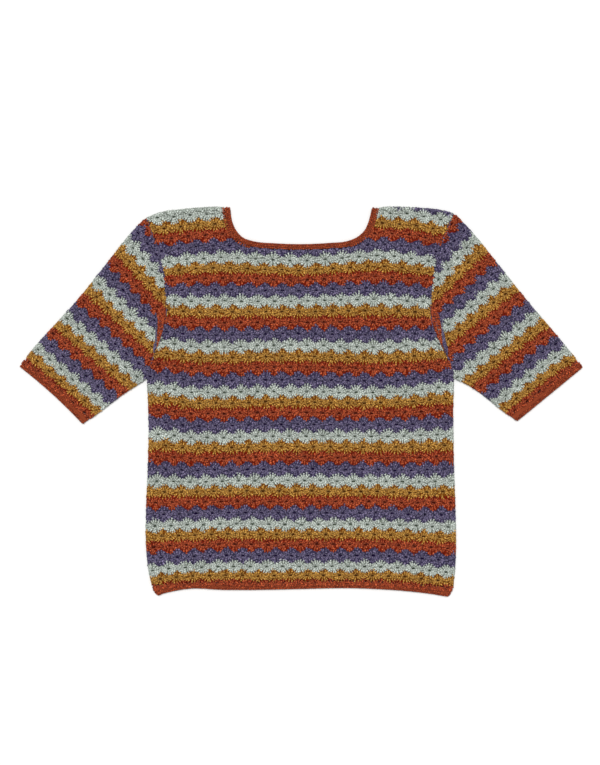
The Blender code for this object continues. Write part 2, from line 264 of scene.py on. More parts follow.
def yarn_material(name, light, dark):
    """Twisted matt cotton yarn, flecked between a light and a dark tone, with painted shade in its
    grooves and under its crossing loops.
    """
    made, tree = new_material("cotton_yarn_" + name + "_twisted")
    place = add(tree, "TexCoord", {}, {}).outputs["Object"]
    strand = add(tree, "UVMap", {"uv_map": "yarn"}, {})
    parts = add(tree, "SeparateXYZ", {}, {0: strand})
    fleck = add(
        tree, "TexNoise", {"noise_dimensions": "1D"},
        {"W": parts, "Scale": 1 / FLECK_LENGTH, "Detail": 1.0},
    )
    heather = add(tree, "MapRange", {}, {0: fleck, 1: HEATHER[0], 2: HEATHER[1], 3: 0.0, 4: 1.0})
    tone = add(tree, "Mix", {"data_type": "RGBA"}, {0: heather, 6: linear(dark), 7: linear(light)})
    # Each line has a sum's name, its kind and what it takes: constants and sums above it
    sums = {"length": parts.outputs[0], "around": parts.outputs[1]}
    for result, operation, *values in (
        ("turns", "DIVIDE", "length", PLY_TURN / PLIES),
        ("wound", "MULTIPLY_ADD", "around", float(PLIES), "turns"),
        ("angle", "MULTIPLY", "wound", math.tau),
        ("ply", "SINE", "angle"),
        ("crossing", "MULTIPLY_ADD", "length", 1 / WRAP_PITCH, "around"),
        ("crossing_angle", "MULTIPLY", "crossing", math.tau),
        ("wrap", "SINE", "crossing_angle"),
    ):
        inputs = {number: sums.get(value, value) for number, value in enumerate(values)}
        sums[result] = add(tree, "Math", {"operation": operation}, inputs)
    # Painted shade: darker in the twist's grooves and under the loops that cross a post
    groove = add(tree, "MapRange", {}, {0: sums["ply"], 1: -1.0, 2: 0.2, 3: GROOVE_SHADE, 4: 1.0})
    painted_wrap_shadow = add(tree, "MapRange", {}, {0: sums["wrap"], 1: -0.9, 2: 0.5, 3: WRAP_SHADE, 4: 1.0})
    # Each strand's tone: random from post to post, with painted light towards its head and painted
    # shade on the side strands
    post = add(tree, "Attribute", {"attribute_name": "shade"}, {})
    shadowed = add(tree, "Math", {"operation": "MULTIPLY"}, {0: groove, 1: painted_wrap_shadow})
    shade = add(tree, "Math", {"operation": "MULTIPLY"}, {0: shadowed, 1: post.outputs["Fac"]})
    colour = add(
        tree, "VectorMath", {"operation": "SCALE"}, {0: tone.outputs[2], "Scale": shade}
    )
    fibre = add(tree, "TexNoise", {}, {"Vector": place, "Scale": FIBRES_PER_METRE, "Detail": 3.0})
    height = add(
        tree, "Math", {"operation": "MULTIPLY_ADD"}, {0: sums["ply"], 1: 0.5, 2: fibre}
    )
    bump = add(tree, "Bump", {}, {"Strength": 0.7, "Distance": 0.15 * MM, "Height": height})
    finish_material(tree, {
        "Base Color": colour, "Roughness": 0.85, "Specular IOR Level": 0.12,
        "Sheen Weight": 0.03, "Sheen Roughness": 0.5, "Normal": bump,
    })
    return made


yarns = {name: yarn_material(name, *YARN_COLOURS[name]) for name in YARNS}


# Front panel, ground cloth. The loops' backs and the shadowed gaps between the posts: a dense cotton
# cloth on the solid's own form and waves, sewn to its neighbours at the edges. Its colour is painted
# shade: each row's yarn, darkened.
GROUND_INSET = 0.85  # the ground lies this deep under the solid's face
EYE_HALF_WIDTH = 0.12  # of the wheels' pitch
EYE_HALF_HEIGHT = 0.11  # of the rows' spacing
EYE_SHADE = 0.32  # painted shade on the ground in an open eye, where the top's inside is in shadow
# How much deeper the colour of that painted shade is at the eye's middle
EYE_SATURATION = 1.8
EYE_RIM = (0.7, 1.3)  # where the shade begins to fade and where it ends, in half sizes squared
LOOPS_PER_METRE = 480.0  # loops' backs that show between the posts
SCALLOP = 0.16  # how far a wheel reaches past its row's middle line, in rows
# Each yarn's colour darkened, as painted shade for the gaps between the posts
SHADED_GROUND_TONES = {"mint": "#767E73", "mustard": "#744008", "rust": "#721A04", "plum": "#3C3450"}
# Where each yarn's ground starts in the repeat: the darker rows reach between the tips of
# the lighter ones
GROUND_STARTS = ((0.0, "plum"), (0.14, "mint"), (0.86, "mustard"), (1.80, "rust"), (3.0, "plum"))

# Loops' backs in the shade of the posts, as painted shade: each row's yarn darkened, with painted shade
# in the open eyes
striped_ground_painted_shade, tree = new_material("cotton_crochet_striped_ground")
stitch = add(tree, "UVMap", {"uv_map": "stitch"}, {})
parts = add(tree, "SeparateXYZ", {}, {0: stitch})
sums = {"along": parts.outputs[0], "down": parts.outputs[1]}
for result, operation, *values in (
    ("turn", "MULTIPLY", "along", math.tau),
    ("reach", "COSINE", "turn"),
    ("half_turn", "MULTIPLY", "down", math.pi),
    ("edge", "SINE", "half_turn"),
    ("wave", "MULTIPLY", "reach", "edge"),
    ("scallop", "MULTIPLY", "wave", SCALLOP),
    ("bent", "SUBTRACT", "down", "scallop"),
    ("row", "ROUND", "bent"),
    ("lowered", "ADD", "bent", 0.5),
    ("in_repeat", "FLOORED_MODULO", "lowered", 4.0),
    ("share", "DIVIDE", "in_repeat", 4.0),
    ("odd", "FLOORED_MODULO", "row", 2.0),
    ("half", "MULTIPLY", "odd", 0.5),
    ("moved", "ADD", "along", "half"),
    ("centred", "ADD", "moved", 0.5),
    ("fraction", "FRACT", "centred"),
    ("beside", "SUBTRACT", "fraction", 0.5),
    ("across", "DIVIDE", "beside", EYE_HALF_WIDTH),
    ("off_row", "SUBTRACT", "down", "row"),
    ("above", "DIVIDE", "off_row", EYE_HALF_HEIGHT),
    ("across_squared", "MULTIPLY", "across", "across"),
    ("above_squared", "MULTIPLY", "above", "above"),
    ("distance", "ADD", "across_squared", "above_squared"),
):
    inputs = {number: sums.get(value, value) for number, value in enumerate(values)}
    sums[result] = add(tree, "Math", {"operation": operation}, inputs)
ramp = add(tree, "ValToRGB", {}, {0: sums["share"]})
ramp.color_ramp.interpolation = "CONSTANT"
while len(ramp.color_ramp.elements) < len(GROUND_STARTS):
    ramp.color_ramp.elements.new(0.5)
for element, (start, name) in zip(ramp.color_ramp.elements, GROUND_STARTS):
    element.position = start / len(YARNS)
    element.color = linear(SHADED_GROUND_TONES[name])
rim = {0: sums["distance"], 1: EYE_RIM[0], 2: EYE_RIM[1], 4: 1.0}
eye = add(tree, "MapRange", {}, {**rim, 3: EYE_SHADE})
eye_shade_saturation = add(tree, "MapRange", {}, {**rim, 3: EYE_SATURATION})
tone = add(tree, "HueSaturation", {}, {"Saturation": eye_shade_saturation, "Color": ramp})
place = add(tree, "TexCoord", {}, {}).outputs["Object"]
loops = add(tree, "TexVoronoi", {}, {"Vector": place, "Scale": LOOPS_PER_METRE})
mottle = add(tree, "MapRange", {}, {0: loops, 1: 0.1, 2: 0.8, 3: 1.3, 4: 0.5})
shade = add(tree, "Math", {"operation": "MULTIPLY"}, {0: eye, 1: mottle})
colour = add(tree, "VectorMath", {"operation": "SCALE"}, {0: tone, "Scale": shade})
bump = add(
    tree, "Bump", {"invert": True}, {"Strength": 0.8, "Distance": 0.6 * MM, "Height": loops}
)
finish_material(tree, {
    "Base Color": colour, "Roughness": 0.95, "Specular IOR Level": 0.1, "Normal": bump,
})


def plan_map(mesh, name, places):
    """A UV map of this name, with a place for each vertex."""
    corners = np.empty(len(mesh.loops), np.int32)
    mesh.loops.foreach_get("vertex_index", corners)
    layer = mesh.uv_layers.new(name=name)
    layer.data.foreach_set("uv", places[corners].astype(np.float32).ravel())


def fitted(plan):
    """Plan points scaled to fill a unit square, less a narrow margin."""
    low, high = plan.min(axis=0), plan.max(axis=0)
    return 0.01 + 0.98 * (plan - low) / (high - low)


def ground(node, material, layout, cuts, outer):
    """The ground cloth of a node: its own form, divided, with its outer face sunk a little.
    `outer` says of points and normals which lie on the outer face."""
    name = node + "_ground"
    work = bmesh.new()
    work.from_mesh(nodes[node].data)
    bmesh.ops.remove_doubles(work, verts=work.verts, dist=0.01 * MM)
    bmesh.ops.subdivide_edges(work, edges=work.edges, cuts=cuts, use_grid_fill=True)
    bmesh.ops.recalc_face_normals(work, faces=work.faces)
    work.normal_update()
    points = np.array([vertex.co for vertex in work.verts]) / MM
    normals = np.array([vertex.normal for vertex in work.verts])
    points -= normals * (GROUND_INSET * outer(points, normals))[:, None]
    mesh = bpy.data.meshes.new(name)
    work.to_mesh(mesh)
    work.free()
    mesh.vertices.foreach_set("co", (points * MM).astype(np.float32).ravel())
    for layer in list(mesh.uv_layers):
        mesh.uv_layers.remove(layer)
    plan_map(mesh, "OFBake", fitted(points[:, :2]))
    if layout is not None:
        plan_map(mesh, "stitch", stitch_place(layout, points[:, :2]))
    mesh.shade_smooth()
    mesh.materials.clear()
    mesh.materials.append(material)
    made = bpy.data.objects.new(name, mesh)
    scene.collection.objects.link(made)
    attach(made, "root")
    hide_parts(node)
    return made


front_ground = ground(
    "front", striped_ground_painted_shade, body_cloth, 3,
    lambda points, normals: normals[:, 2] > -0.3,
)


# Front panel, wheels. Every wheel is a fan of treble posts round a small open eye: six to
# eight teeth hang over the row below, eight posts rise to the row above, three close each
# side and two knots join it to the next. They are worked from the neck down, a yarn a row.

# How far each row's yarn hangs towards the next row's eyes, in rows, at these distances from
# a wheel's middle: blunt mint lobes, an even mustard fan, broad rust tongues and narrow plum
# ones between the round crowns of the next row
HANG_PLACES = (0.0, 0.06, 0.12, 0.2, 0.3, 0.4, 0.5)
HANGS = (
    (0.69, 0.69, 0.68, 0.64, 0.47, 0.34, 0.27),
    (0.68, 0.67, 0.65, 0.59, 0.49, 0.41, 0.37),
    (0.73, 0.73, 0.70, 0.54, 0.34, 0.28, 0.27),
    (0.75, 0.73, 0.64, 0.53, 0.43, 0.36, 0.32),
)
TOOTH_WIDTHS = (1.0, 0.78, 1.0, 1.0)  # of the teeth in each yarn, the mustard ones slim
# Each kind of strand has radii, lifts above the solid's face and tones at these fractions of its
# length: a post is full near the eye, narrow below its head and broad at the head. The tones are
# painted light and shade: lighter towards the raised heads and tips, darker along the side strands.
FRONT_FRACTIONS = (0.0, 0.35, 0.62, 0.82, 1.0)
FRONT_KINDS = {
    "tooth": ((0.9, 1.2, 1.45, 1.2, 1.45), (-0.1, 0.2, 0.3, 0.25, 0.2), (1.0, 1.0, 1.02, 1.06, 1.14)),
    "post": ((0.9, 1.1, 1.3, 0.9, 1.75), (-0.1, 0.2, 0.3, 0.2, 0.3), (1.0, 1.0, 1.0, 0.95, 1.08)),
    "side": ((0.9, 1.1, 1.4, 1.1, 1.2), (-0.1, 0.1, 0.15, 0.05, 0.0), (1.0, 0.97, 0.95, 0.93, 0.93)),
    "knot": ((0.8, 1.2, 1.3, 1.2, 0.8), (-0.3, 0.0, 0.1, 0.0, -0.3), (1.0, 1.0, 1.0, 1.0, 1.0)),
}
TEETH = (8, 6, 7, 7)  # in each yarn's wheels
FRONT_STYLE = {
    "counts": [{"tooth": teeth, "post": 8, "side": 3, "knot": 2} for teeth in TEETH],
    "fractions": FRONT_FRACTIONS,
    "kinds": FRONT_KINDS,
    "tuck": -0.3,
    "foot": 20.0,
    "eye": 1.0,
    "below": False,
}
REACHES = (0.4, 0.9, 0.0, 0.0)  # how far the heads of each yarn lie over the next row's
TOOTH_FAN = math.radians(135)  # between a wheel's outermost teeth
POST_FAN = math.radians(162)
EYE = (2.6, 1.2)  # half the width and height of the ring on which the posts start
EYE_SIZES = (0.85, 1.2)  # smallest and largest eye, as shares of that
SIDE_MARGIN = 1.3  # from a side post's end to the edges of its row
SLOPE_STEP = 6.0  # to each side of an eye, for the slope of its row
KNOT_GAP = 1.1  # from the middle between two wheels to each knot
KNOT_ENDS = (-3.0, 2.2)  # its lower and upper end, from the level of the eyes
# How unevenly hands work: the usual stray of each measure in millimetres, or as a share
STRAY = {
    "eye along": 0.35, "eye inward": 0.3, "tilt": 0.03, "post": 0.25, "head": 0.5, "side": 0.3,
    "reach": 0.05, "lean": 0.7, "wheel's tone": 0.03, "bow": 0.08, "lift": 0.07, "radius": 0.07,
    "tone": 0.08,
}
rng = np.random.default_rng(11)


def hang(v, x):
    """How far row v's yarn hangs, x wheels away from the middle of one of its wheels."""
    return np.interp(np.abs(x - np.round(x)), HANG_PLACES, HANGS[v % 4])


def wheel_row(layout, style, v, low, high):
    """Strands of the wheels of row v whose eyes lie between two places along it: plan start,
    end and sideways bow in millimetres, with each one's lifts, radii and shade."""
    first, pitch = rhythm(layout, *between_rows(v))
    half = v % 2 / 2
    number = np.arange(
        math.ceil((low - first) / pitch - half), math.floor((high - first) / pitch - half) + 1
    )
    count = len(number)
    along = first + pitch * (number + half) + rng.normal(0, STRAY["eye along"], count)
    inward = eye_line(layout, v, along) + rng.normal(0, STRAY["eye inward"], count)
    slope = eye_line(layout, v, along + SLOPE_STEP) - eye_line(layout, v, along - SLOPE_STEP)
    slope = slope / (2 * SLOPE_STEP) + rng.normal(0, STRAY["tilt"], count)
    above = (eye_line(layout, v - 1, along) - inward)[:, None]
    below = (inward - eye_line(layout, v + 1, along))[:, None]
    counts = style["counts"][v % 4]

    def lower_edge(x):
        return -np.minimum(below * hang(v, x / pitch), style["foot"])

    def upper_edge(x):
        return above * (1 - hang(v - 1, x / pitch + 0.5))

    def spread(posts, opening):
        places = np.sin(((np.arange(posts) + 0.5) / posts - 0.5) * opening) / 2
        return places * pitch + rng.normal(0, STRAY["post"], (count, posts))

    tooth = spread(counts["tooth"], TOOTH_FAN)
    post = spread(counts["post"], POST_FAN)
    lowest, highest = lower_edge(pitch / 2) + SIDE_MARGIN, upper_edge(pitch / 2) - SIDE_MARGIN
    levels = np.tile(lowest + (highest - lowest) * np.linspace(0, 1, counts["side"]), 2)
    side = np.repeat([-0.5, 0.5], counts["side"]) * pitch
    side = side + rng.normal(0, STRAY["side"], levels.shape)
    heads = upper_edge(post) + style["tuck"] + rng.normal(0, STRAY["head"], post.shape)
    levels = levels + rng.normal(0, STRAY["side"], side.shape)
    names = ["tooth"] * counts["tooth"] + ["post"] * counts["post"] + ["side"] * 2 * counts["side"]
    ends = np.concatenate([
        np.stack(pair, axis=2) for pair in ((tooth, lower_edge(tooth)), (post, heads), (side, levels))
    ], axis=1)
    reach = REACHES[v % 4] / np.linalg.norm(ends, axis=2)
    reach += rng.normal(0, STRAY["reach"], ends.shape[:2])
    ends *= (1 + reach)[:, :, None]
    angle = np.arctan2(ends[..., 1], ends[..., 0])
    eye = np.array(EYE) * style["eye"] * rng.uniform(*EYE_SIZES, (count, 1, 2))
    starts = np.stack([np.cos(angle), np.sin(angle)], axis=2) * eye
    if counts["knot"]:
        across = pitch / 2 + np.array([-KNOT_GAP, KNOT_GAP])
        across = across + rng.normal(0, STRAY["side"], (count, 2))
        lean = rng.normal(0, STRAY["lean"], (count, 2))
        starts = np.concatenate([starts, np.stack([across, lean + KNOT_ENDS[0]], axis=2)], axis=1)
        ends = np.concatenate([ends, np.stack([across - lean, lean + KNOT_ENDS[1]], axis=2)], axis=1)
        names += ["knot"] * counts["knot"]
    turn = np.stack([np.ones(count), slope], axis=1) / np.hypot(1, slope)[:, None]

    def placed(local):
        x = along[:, None] + local[..., 0] * turn[:, :1] - local[..., 1] * turn[:, 1:]
        y = inward[:, None] + local[..., 0] * turn[:, 1:] + local[..., 1] * turn[:, :1]
        return (layout["origin"] + np.stack([x, y], axis=2) @ layout["axes"]).reshape(-1, 2)

    radii, lifts, shade = (
        np.tile([style["kinds"][name][part] for name in names], (count, 1)) for part in range(3)
    )
    teeth = np.tile([name == "tooth" for name in names], count)
    radii[teeth] *= TOOTH_WIDTHS[v % 4]
    shade = shade * np.repeat(rng.normal(1, STRAY["wheel's tone"], count), len(names))[:, None]
    return {
        "start": placed(starts),
        "end": placed(ends),
        "bow": rng.normal(0, STRAY["bow"], len(radii)),
        "lifts": lifts + rng.normal(0, STRAY["lift"], (len(radii), 1)),
        "radii": radii * rng.normal(1, STRAY["radius"], (len(radii), 1)),
        "shade": shade * rng.normal(1, STRAY["tone"], (len(radii), 1)),
    }


CLEAR = 0.05  # metres above and below the table, clear of the whole top


def touch(tree, place, below):
    """Where a plumb line through a plan point meets the outer face, and its normal."""
    start = (place[0] * MM, place[1] * MM, -CLEAR if below else CLEAR)
    spot, normal, _, _ = tree.ray_cast(start, (0, 0, 1 if below else -1))
    return spot, normal


GROOVE_REACH = 1.3  # half the width of the groove at a seam, which a strand bridges


def rest(tree, point, f, length, below):
    """Where a strand lies at a fraction of its length: on the cloth, or across the groove of
    a seam, with the normal there."""
    spot, normal = touch(tree, point(f), below)
    if below:
        return spot, normal
    sides = [touch(tree, point(f + way * GROOVE_REACH / length), below) for way in (-1, 1)]
    if sides[0][0] and sides[1][0]:
        level = min(sides[0][0].z, sides[1][0].z)
        if spot is None or spot.z < level:
            across, height = point(f) * MM
            return Vector((across, height, level)), Vector((0, 0, 1))
    return spot, normal


SHORTEST = 1.2  # a shorter end of a strand is left out
TESTS = 9  # places along a strand where the cloth under it is looked for
HALVINGS = 4  # that close in on the edge where the cloth ends
OVER_SEAM = 0.9  # how far a strand reaches over a seam, and half as far again
TAPER = 0.7  # of a strand's end that was cut short
OFF_TABLE = 0.1  # least height of the underside's yarn above the table
SKEIN = 4000.0  # length of yarn from which each strand takes its own stretch
SIDES = 3  # of a strand's section
FLATNESS = 0.75  # height of that section to its width


def covered(tree, point, length, below):
    """The longest part of a strand with cloth under it, as two fractions of its length."""
    if all(touch(tree, point(f), below)[0] for f in (0.0, 0.5, 1.0)):
        return 0.0, 1.0
    tests = np.linspace(0, 1, TESTS)
    found = [rest(tree, point, f, length, below)[0] is not None for f in tests]
    runs = [list(run) for hit, run in itertools.groupby(range(TESTS), lambda at: found[at]) if hit]
    longest = max(runs, key=len, default=[])
    if len(longest) < 2:
        return 0.0, 0.0
    ends = []
    for edge, step in ((longest[0], -1), (longest[-1], 1)):
        kept = tests[edge]
        if 0 < edge < TESTS - 1:
            reach = tests[1] * step
            for _ in range(HALVINGS):
                reach /= 2
                if touch(tree, point(kept + reach), below)[0]:
                    kept += reach
        ends.append(kept)
    return ends[0], ends[1]


def lay(tree, strands, fractions, below, beside=None):
    """The strands' centrelines on the cloth, with their normals, radii and shades, in
    millimetres. A strand ends where it leaves the cloth, or just over the seam where there
    is a neighbour beside it."""
    fractions = np.array(fractions)
    start, span = strands["start"], strands["end"] - strands["start"]
    aside = np.column_stack([-span[:, 1], span[:, 0]])
    laid = {"centres": [], "normals": [], "radii": [], "shade": []}
    for number in range(len(start)):
        def point(f):
            bow = strands["bow"][number] * 4 * f * (1 - f)
            return start[number] + span[number] * f + aside[number] * bow

        length = np.linalg.norm(span[number])
        first, last = covered(tree, point, length, below)
        if (last - first) * length < SHORTEST:
            continue
        if beside is not None:
            for step in (OVER_SEAM / length, OVER_SEAM / length / 2):
                if last < 1 and touch(beside, point(last + step), below)[0]:
                    last += step
                if first > 0 and touch(beside, point(first - step), below)[0]:
                    first -= step
        kept = first + (last - first) * fractions
        radius = np.interp(kept, fractions, strands["radii"][number])
        radius[-1] *= TAPER if last < 1 else 1
        radius[0] *= TAPER if first > 0 else 1
        lift = np.interp(kept, fractions, strands["lifts"][number])
        spots = [rest(tree, point, f, length, below) for f in kept]
        if beside is not None:
            spots = [
                spot if spot[0] else rest(beside, point, f, length, below)
                for spot, f in zip(spots, kept)
            ]
        if any(spot is None for spot, _ in spots):
            continue
        normal = np.array([way for _, way in spots])
        if below:
            lift = np.minimum(lift, -radius - OFF_TABLE)
        centre = np.array([spot for spot, _ in spots]) / MM + normal * lift[:, None]
        shade = np.interp(kept, fractions, strands["shade"][number])
        for values, value in zip(laid.values(), (centre, normal, radius, shade)):
            values.append(value)
    return {name: np.array(values) for name, values in laid.items()}


def joined(parts):
    """Several sets of strands as one."""
    return {name: np.concatenate([part[name] for part in parts]) for name in parts[0]}


def strand_object(name, laid, material):
    """One mesh of closed strands, smooth shaded, riding on the body."""
    centres, normals, radii = laid["centres"], laid["normals"], laid["radii"]
    count, stations = radii.shape
    forward = np.gradient(centres, axis=1)
    forward /= np.linalg.norm(forward, axis=2, keepdims=True)
    side = np.cross(forward, normals)
    side /= np.linalg.norm(side, axis=2, keepdims=True)
    up = np.cross(side, forward)
    turns = math.tau * np.arange(SIDES) / SIDES - math.pi / 2
    ring = np.cos(turns)[:, None] * side[:, :, None]
    ring += FLATNESS * np.sin(turns)[:, None] * up[:, :, None]
    vertices = centres[:, :, None] + radii[:, :, None, None] * ring
    # Each corner is a station along the strand and a place round it
    faces = [[(0, k) for k in range(SIDES)]]
    for station in range(stations - 1):
        for k in range(SIDES):
            faces.append([(station, k), (station + 1, k), (station + 1, k + 1), (station, k + 1)])
    faces.append([(stations - 1, k) for k in reversed(range(SIDES))])
    stop, place = np.array([corner for face in faces for corner in face]).T
    corners = stop * SIDES + place % SIDES
    corners = (corners + (np.arange(count) * stations * SIDES)[:, None]).ravel()
    sizes = np.tile([len(face) for face in faces], count)
    mesh = bpy.data.meshes.new(name)
    flat = vertices.reshape(-1, 3)
    mesh.vertices.add(len(flat))
    mesh.vertices.foreach_set("co", (flat * MM).astype(np.float32).ravel())
    mesh.loops.add(len(corners))
    mesh.loops.foreach_set("vertex_index", corners.astype(np.int32))
    mesh.polygons.add(len(sizes))
    mesh.polygons.foreach_set("loop_start", (np.cumsum(sizes) - sizes).astype(np.int32))
    mesh.update(calc_edges=True)
    plan_map(mesh, "OFBake", fitted(flat[:, :2]))
    steps = np.linalg.norm(np.diff(centres, axis=1), axis=2)
    length = np.concatenate([np.zeros((count, 1)), np.cumsum(steps, axis=1)], axis=1)
    length += rng.uniform(0, SKEIN, (count, 1))
    lengthwise = length[:, stop].ravel()
    around = np.tile(place / SIDES, count)
    layer = mesh.uv_layers.new(name="yarn")
    layer.data.foreach_set("uv", np.column_stack([lengthwise, around]).astype(np.float32).ravel())
    shade = mesh.attributes.new("shade", "FLOAT", "POINT")
    shade.data.foreach_set("value", np.repeat(laid["shade"], SIDES).astype(np.float32))
    mesh.shade_smooth()
    mesh.materials.append(material)
    mesh.validate()
    made = bpy.data.objects.new(name, mesh)
    scene.collection.objects.link(made)
    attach(made, "root")
    return made


def tree_of(*names):
    """A search tree over the outer faces of these nodes' solids."""
    work = bmesh.new()
    for name in names:
        work.from_mesh(nodes[name].data)
    made = BVHTree.FromBMesh(work)
    work.free()
    return made


def wheel_pieces(prefix, trees, layout, patches):
    """The wheels of these patches of rows, as one piece for each yarn. A patch is a style,
    its rows and the places along them between which it lies."""
    made = []
    for colour, name in enumerate(YARNS):
        parts = [
            lay(
                trees[0], wheel_row(layout, style, v, low, high), style["fractions"], style["below"],
                trees[1],
            )
            for style, rows, low, high in patches
            for v in rows
            if v % 4 == colour
        ]
        laid = joined([part for part in parts if len(part["centres"])])
        made.append(strand_object(prefix + name + "_wheels", laid, yarns[name]))
    return made


def distances(points):
    """The distance of each point along the line through them."""
    return np.concatenate([[0.0], np.cumsum(np.linalg.norm(np.diff(points, axis=0), axis=1))])


def smooth(points, step):
    """Points a step apart on a smooth curve through these points, with its directions."""
    points = np.array(points, float)
    stops = distances(points)
    slopes = np.gradient(points, stops, axis=0)
    at = np.arange(0, stops[-1], 1.0)
    low = np.clip(np.searchsorted(stops, at, side="right") - 1, 0, len(stops) - 2)
    span = (stops[low + 1] - stops[low])[:, None]
    t = (at - stops[low])[:, None] / span
    curve = (1 + 2 * t) * (1 - t) ** 2 * points[low] + t * (1 - t) ** 2 * span * slopes[low]
    curve += t * t * (3 - 2 * t) * points[low + 1] + t * t * (t - 1) * span * slopes[low + 1]
    curve = np.vstack([curve, points[-1]])
    lengths = distances(curve)
    places = np.arange(step / 2, lengths[-1], step)
    found, ahead, back = (
        np.column_stack([np.interp(places + off, lengths, curve[:, axis]) for axis in (0, 1)])
        for off in (0, 1, -1)
    )
    way = ahead - back
    return found, way / np.linalg.norm(way, axis=1)[:, None]


FOLD_PITCH = 2.5  # between the strands that go round an edge
FOLD_ANGLES = (118, 70, 30, -10, -50, -90)  # where such a strand's points lie round the fold
FOLD_DEPTH = 4.0  # from the edge in to the middle of those angles
FOLD_LIFT = -0.15
FOLD_RADII = (0.9, 1.15, 1.15, 1.1, 0.9, 0.5)
FOLD_STRAY = {"lean": 0.5, "radius": 0.06, "tone": 0.1}
FOLD_TONE = 0.95
MIDDLE = 2.95  # height of the gap between the layers
OUTSIDE = (30, 3.6)  # past the edge and above the table, from where its rim is looked for


def round_edge(names, layout, edge, turn):
    """Strands that go round an edge from the upper face to the lower one, by yarn. The edge
    is given by points near it, and `turn` says which side of its direction is outside."""
    tree = tree_of(*names)
    places, way = smooth(edge, FOLD_PITCH)
    outward = np.column_stack([way[:, 1], -way[:, 0]]) * turn
    found = {name: {"centres": [], "normals": [], "radii": []} for name in YARNS}
    for place, forward, out in zip(places, way, outward):
        start = Vector((*(place + out * OUTSIDE[0]) * MM, OUTSIDE[1] * MM))
        rim = tree.ray_cast(start, Vector((*-out, 0)))[0]
        if rim is None:
            continue
        middle = Vector((*(np.array(rim[:2]) - out * FOLD_DEPTH * MM), MIDDLE * MM))
        lean = rng.normal(0, FOLD_STRAY["lean"])
        spots = []
        for angle in FOLD_ANGLES:
            turned = math.radians(angle)
            ray = Vector((*out * math.cos(turned), math.sin(turned)))
            aside = Vector((*forward * lean * math.sin(turned) * MM, 0))
            spots.append(tree.ray_cast(middle + aside + ray * CLEAR, -ray)[:2])
        if any(spot is None for spot, _ in spots):
            continue
        normal = np.array([normal for _, normal in spots])
        radius = np.array(FOLD_RADII) * rng.normal(1, FOLD_STRAY["radius"])
        centre = np.array([spot for spot, _ in spots]) / MM + normal * FOLD_LIFT
        centre[:, 2] = np.maximum(centre[:, 2], radius * FLATNESS + OFF_TABLE)
        row = round(stitch_place(layout, centre[1:2, :2])[0, 1])
        for values, value in zip(found[YARNS[row % 4]].values(), (centre, normal, radius)):
            values.append(value)
    laid = {}
    for name, parts in found.items():
        count = len(parts["radii"])
        if count:
            laid[name] = {part: np.array(values) for part, values in parts.items()}
            tones = rng.normal(FOLD_TONE, FOLD_STRAY["tone"], (count, 1))
            laid[name]["shade"] = np.ones((count, len(FOLD_RADII))) * tones
    return laid


def round_edges(prefix, names, layout, edges):
    """The strands round several edges of a cloth, as one piece for each yarn."""
    runs = [round_edge(names, layout, edge, turn) for edge, turn in edges]
    made = []
    for name in YARNS:
        laid = joined([run[name] for run in runs if name in run])
        made.append(strand_object(prefix + name + "_edge_stitches", laid, yarns[name]))
    return made


FRONT_SIDE = 248  # of the places that the front's rows reach, on each side
SHOULDER_STYLE = {**FRONT_STYLE, "tuck": 5.0}  # its posts run on to the seam
HEM_STYLE = {**FRONT_STYLE, "foot": 1.8, "eye": 0.5}  # stands on the hem band's plain rows
whole_top = tree_of("front", "hem_band", "neck_edging", "sleeve_right", "sleeve_left")
front_wheels = wheel_pieces(
    "front_",
    (tree_of("front", "hem_band"), whole_top),
    body_cloth,
    (
        (FRONT_STYLE, [-1], LONG_SHOULDER, FRONT_SIDE),
        (SHOULDER_STYLE, [0], -FRONT_SIDE, LONG_SHOULDER),
        (FRONT_STYLE, [0], LONG_SHOULDER, FRONT_SIDE),
        (FRONT_STYLE, range(1, 34), -FRONT_SIDE, FRONT_SIDE),
        (HEM_STYLE, [34], -FRONT_SIDE, FRONT_SIDE),
    ),
)

# The body's side seams and the shoulders, and which side of each is outside
BODY_EDGES = (
    (((-222.6, -276.0), (-232.0, -216.0), (-232.0, -163.0), (-228.0, -43.0), (-231.0, 30.0)), -1),
    (((227.5, -278.0), (232.3, -216.0), (231.3, -163.0), (228.0, -43.0), (229.0, 30.0)), 1),
    (((-117.0, 292.2), (-158.0, 290.2), (-206.0, 285.0), (-229.0, 277.5)), 1),
    (((118.0, 292.0), (158.0, 291.5), (206.0, 287.8), (227.0, 283.3)), -1),
)
body_edges = round_edges("body_", ("front", "back"), body_cloth, BODY_EDGES)


# Back panel. The same cloth as the front, lying on the table, so its ground is flat and the
# yarn of its underside is pressed into a thin layer that stays above the table.
BACK_SIDE = 240
BACK_POST = ((0.45, 0.65, 0.5), (-0.8, -0.7, -0.7), (1.0, 1.0, 1.0))
BACK_TOOTH = ((0.45, 0.68, 0.55), *BACK_POST[1:])
BACK_STYLE = {
    **FRONT_STYLE,
    "counts": [{"tooth": 7, "post": 6, "side": 2, "knot": 0}] * 4,
    "fractions": (0.0, 0.6, 1.0),
    "kinds": {"tooth": BACK_TOOTH, "post": BACK_POST, "side": BACK_POST},
    "tuck": 1.0,
    "below": True,
}
back_ground = ground(
    "back", striped_ground_painted_shade, body_cloth, 1,
    lambda points, normals: normals[:, 2] < 0.3,
)
back_wheels = wheel_pieces(
    "back_", (tree_of("back"), None), body_cloth,
    ((BACK_STYLE, range(-1, 34), -BACK_SIDE, BACK_SIDE),),
)


# Sleeves. Each is a tube worked in rows parallel to its cuff, pressed flat: the ground goes
# round its two folds, and the wheels lie on the upper layer and, pressed, on the lower one.
SLEEVE_ROWS = range(-2, 14)
SLEEVE_ENDS = (-40, 175)  # of the places that a sleeve's rows reach, past both its folds
CUFF_STYLE = {**FRONT_STYLE, "foot": 4.2}  # the last row stands on the cuff's plain rows

